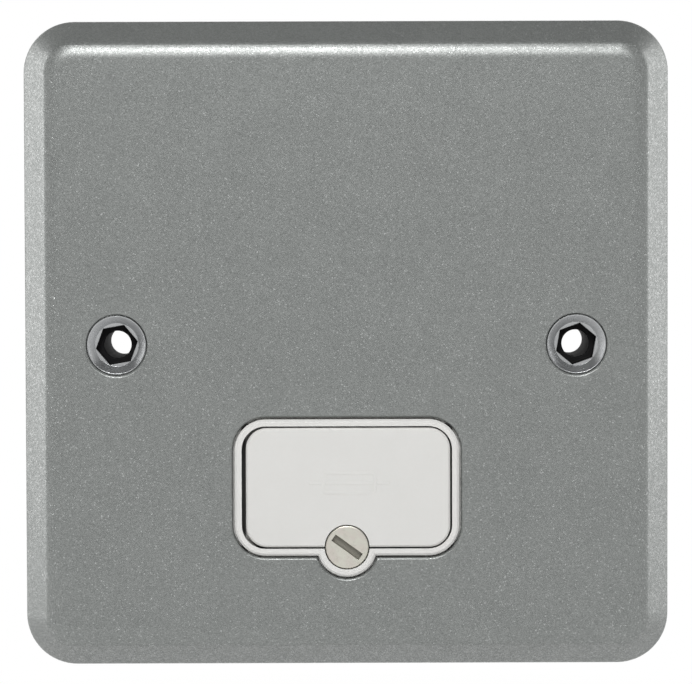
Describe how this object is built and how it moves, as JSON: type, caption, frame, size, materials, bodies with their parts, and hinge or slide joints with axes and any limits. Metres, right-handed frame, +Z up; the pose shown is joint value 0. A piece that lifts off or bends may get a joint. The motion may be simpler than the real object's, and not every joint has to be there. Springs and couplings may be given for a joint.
{
  "type": "fused spur unit",
  "caption": "Flush metal-plate fused spur unit with a pull-out fuse carrier held by a captive screw, and screw terminals at the rear.",
  "frame": {"origin": "midway between the two fixing holes, on the plane of the plate's rear rim", "axes": "+X to the right seen from the front, +Z up, and the front faces -Y"},
  "size_m": [0.085, 0.0279, 0.085],
  "materials": {
    "plate_paint": "grey stove paint with fine metal flake",
    "plain_steel": "bare, zinc flashed",
    "plated_cup": "bright plated",
    "black_plastic": "moulded black",
    "fuse_metal": "nickel plated brass",
    "spring_brass": "spring bronze",
    "brass": "plain brass",
    "screw_steel": "zinc plated",
    "white_moulding": "moulded white",
    "black_moulding": "moulded black",
    "white_carrier": "moulded white, fine satin",
    "fuse_ceramic": "glazed ceramic",
    "nickel_screw": "nickel plated",
    "spring_steel": "oiled spring steel"
  },
  "bodies": {
    "unit": {"front_plate": "plate_paint", "plate_bosses": "plain_steel", "left_fixing_cup": "plated_cup", "left_fixing_bush": "black_plastic", "left_fuse_jaw": "spring_brass", "right_fixing_cup": "plated_cup", "right_fixing_bush": "black_plastic", "right_fuse_jaw": "spring_brass", "supply_live_terminal": "brass", "supply_neutral_terminal": "brass", "supply_earth_terminal": "brass", "load_earth_terminal": "brass", "load_live_terminal": "brass", "load_neutral_terminal": "brass", "base_moulding": "white_moulding", "rear_cover": "black_moulding", "base_screws": "screw_steel", "supply_live_link": "brass", "load_live_link": "brass", "neutral_link": "brass", "earth_strap": "brass", "screw_insert": "brass"},
    "carrier": {"fuse_carrier": "white_carrier", "fuse_tube": "fuse_ceramic", "left_fuse_cap": "fuse_metal", "right_fuse_cap": "fuse_metal"},
    "screw_ring": {"screw_retaining_ring": "spring_steel"},
    "carrier_screw": {"carrier_screw": "nickel_screw"},
    "supply_live_screw": {"supply_live_screw": "screw_steel"},
    "supply_neutral_screw": {"supply_neutral_screw": "screw_steel"},
    "supply_earth_screw": {"supply_earth_screw": "screw_steel"},
    "load_earth_screw": {"load_earth_screw": "screw_steel"},
    "load_live_screw": {"load_live_screw": "screw_steel"},
    "load_neutral_screw": {"load_neutral_screw": "screw_steel"}
  },
  "joints": [
    {"name": "carrier_slide", "type": "slide", "parent": "unit", "child": "carrier", "axis": [0, -1, 0], "range_m": [0, 0.025]},
    {"name": "screw_travel", "type": "slide", "parent": "carrier", "child": "screw_ring", "axis": [0, -1, 0], "range_m": [0, 0.0046]},
    {"name": "screw_turn", "type": "hinge", "parent": "screw_ring", "child": "carrier_screw", "pos_m": [0, -0.006, -0.0266], "axis": [0, -1, 0], "range_deg": [0, 3312]},
    {"name": "supply_live_clamp", "type": "slide", "parent": "unit", "child": "supply_live_screw", "axis": [0, -1, 0], "range_m": [-0.0025, 0.0032]},
    {"name": "supply_neutral_clamp", "type": "slide", "parent": "unit", "child": "supply_neutral_screw", "axis": [0, -1, 0], "range_m": [-0.0025, 0.0032]},
    {"name": "supply_earth_clamp", "type": "slide", "parent": "unit", "child": "supply_earth_screw", "axis": [0, -1, 0], "range_m": [-0.0025, 0.0032]},
    {"name": "load_earth_clamp", "type": "slide", "parent": "unit", "child": "load_earth_screw", "axis": [0, -1, 0], "range_m": [-0.0025, 0.0032]},
    {"name": "load_live_clamp", "type": "slide", "parent": "unit", "child": "load_live_screw", "axis": [0, -1, 0], "range_m": [-0.0025, 0.0032]},
    {"name": "load_neutral_clamp", "type": "slide", "parent": "unit", "child": "load_neutral_screw", "axis": [0, -1, 0], "range_m": [-0.0025, 0.0032]}
  ],
  "couplings": [
    {"joint": "screw_turn", "follows": "screw_travel", "rad_per_m": 12566}
  ]
}
